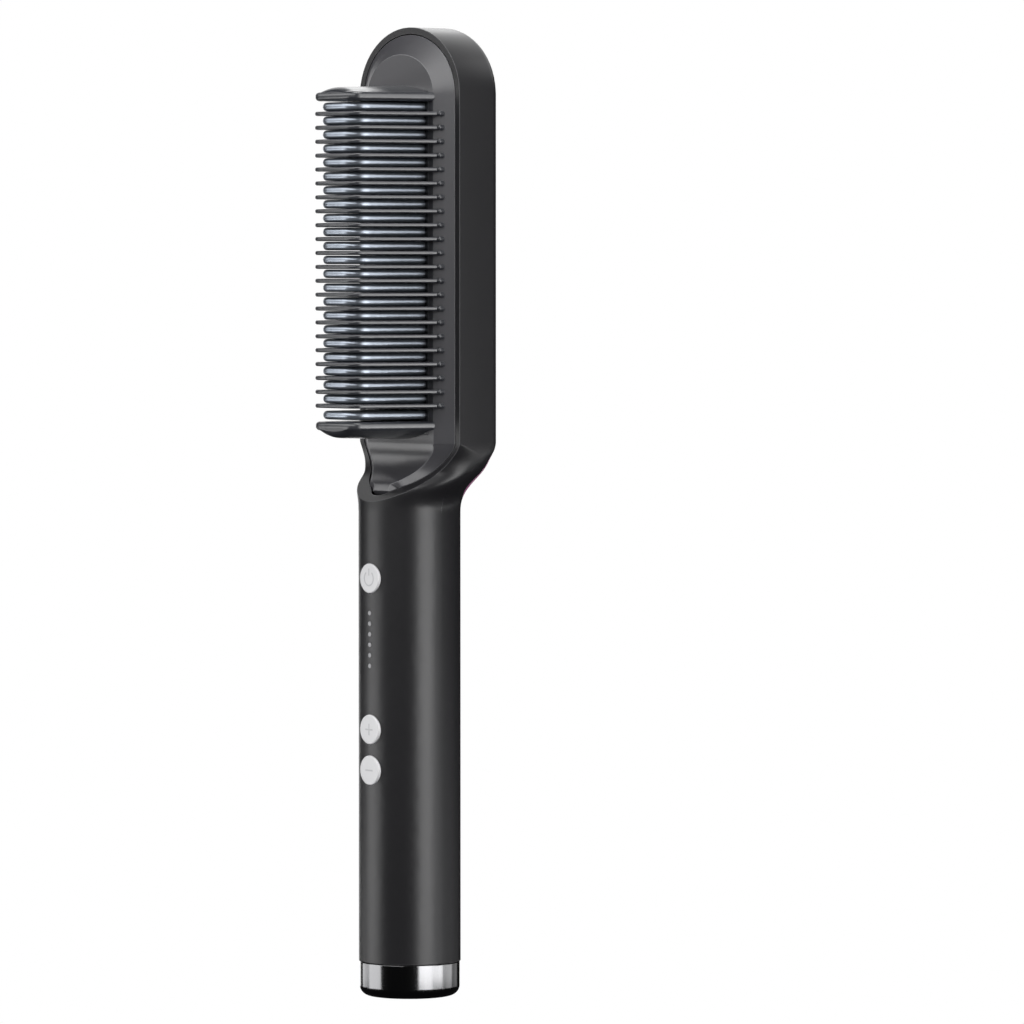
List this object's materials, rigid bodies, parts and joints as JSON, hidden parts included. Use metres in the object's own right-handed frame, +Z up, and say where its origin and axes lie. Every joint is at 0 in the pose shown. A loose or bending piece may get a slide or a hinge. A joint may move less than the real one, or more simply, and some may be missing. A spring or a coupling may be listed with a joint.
{
  "type": "heated styling brush",
  "caption": "Cordless heated styling brush: round handle with power, plus and minus buttons, oval head, metal heating fins between plastic guard ribs, pink ring on the back.",
  "frame": {"origin": "centre of the end cap's flat underside, on the handle axis", "axes": "+Z up the handle towards the head, -Y towards the comb and the buttons, +Y towards the plain back"},
  "size_m": [0.047, 0.0439, 0.285],
  "materials": {
    "satin_black": "satin moulded black plastic",
    "grey_panel": "satin mid-grey moulded plastic",
    "gloss_black": "polished black plastic",
    "pink_ring": "metallic pink satin lacquer",
    "guard_plastic": "satin dark grey heat-resistant plastic",
    "coated_aluminium": "satin blue-grey coated aluminium",
    "dark_chrome": "dark polished plating",
    "button_white": "satin white plastic with light grey marks",
    "clear_guide": "pale diffusing plastic",
    "steel": "plain zinc-plated steel",
    "black_moulding": "plain black moulding",
    "circuit_board": "green solder mask",
    "lamp_body": "white lamp package",
    "cell_can": "blue shrink sleeve over a steel can",
    "nickel": "nickel strip",
    "heater_ceramic": "grey heater ceramic",
    "amber_film": "amber insulating film",
    "bare_aluminium": "mill finish",
    "lead_cover": "red silicone insulation"
  },
  "bodies": {
    "brush_body": {"body_shell": "satin_black", "front_panel": "grey_panel", "back_panel": "gloss_black", "back_ring": "pink_ring", "guard_comb": "guard_plastic", "heating_comb": "coated_aluminium", "end_cap": "dark_chrome", "light_guide": "clear_guide", "charge_socket_shell": "steel", "charge_socket_tongue": "black_moulding", "charge_board": "circuit_board", "control_board": "circuit_board", "board_chips": "black_moulding", "switch_bodies": "black_moulding", "indicator_lamps": "lamp_body", "battery_cells": "cell_can", "cell_contacts": "nickel", "battery_cradle": "black_moulding", "board_screws": "steel", "clamp_screws": "steel", "head_screws": "steel", "heater_plates": "heater_ceramic", "heater_electrodes": "nickel", "insulation_film": "amber_film", "heater_clamp": "bare_aluminium", "heat_shield": "steel", "thermal_fuse": "steel", "temperature_sensor": "black_moulding", "heater_leads": "lead_cover"},
    "power_button": {"power_button": "button_white", "power_plunger": "black_moulding"},
    "plus_button": {"plus_button": "button_white", "plus_plunger": "black_moulding"},
    "minus_button": {"minus_button": "button_white", "minus_plunger": "black_moulding"}
  },
  "joints": [
    {"name": "power_press", "type": "slide", "parent": "brush_body", "child": "power_button", "axis": [0, 1, 0], "range_m": [0, 0.0004], "stiffness_N_per_m": 2500, "springref_m": -0.0003},
    {"name": "plus_press", "type": "slide", "parent": "brush_body", "child": "plus_button", "axis": [0, 1, 0], "range_m": [0, 0.0004], "stiffness_N_per_m": 2500, "springref_m": -0.0003},
    {"name": "minus_press", "type": "slide", "parent": "brush_body", "child": "minus_button", "axis": [0, 1, 0], "range_m": [0, 0.0004], "stiffness_N_per_m": 2500, "springref_m": -0.0003}
  ]
}
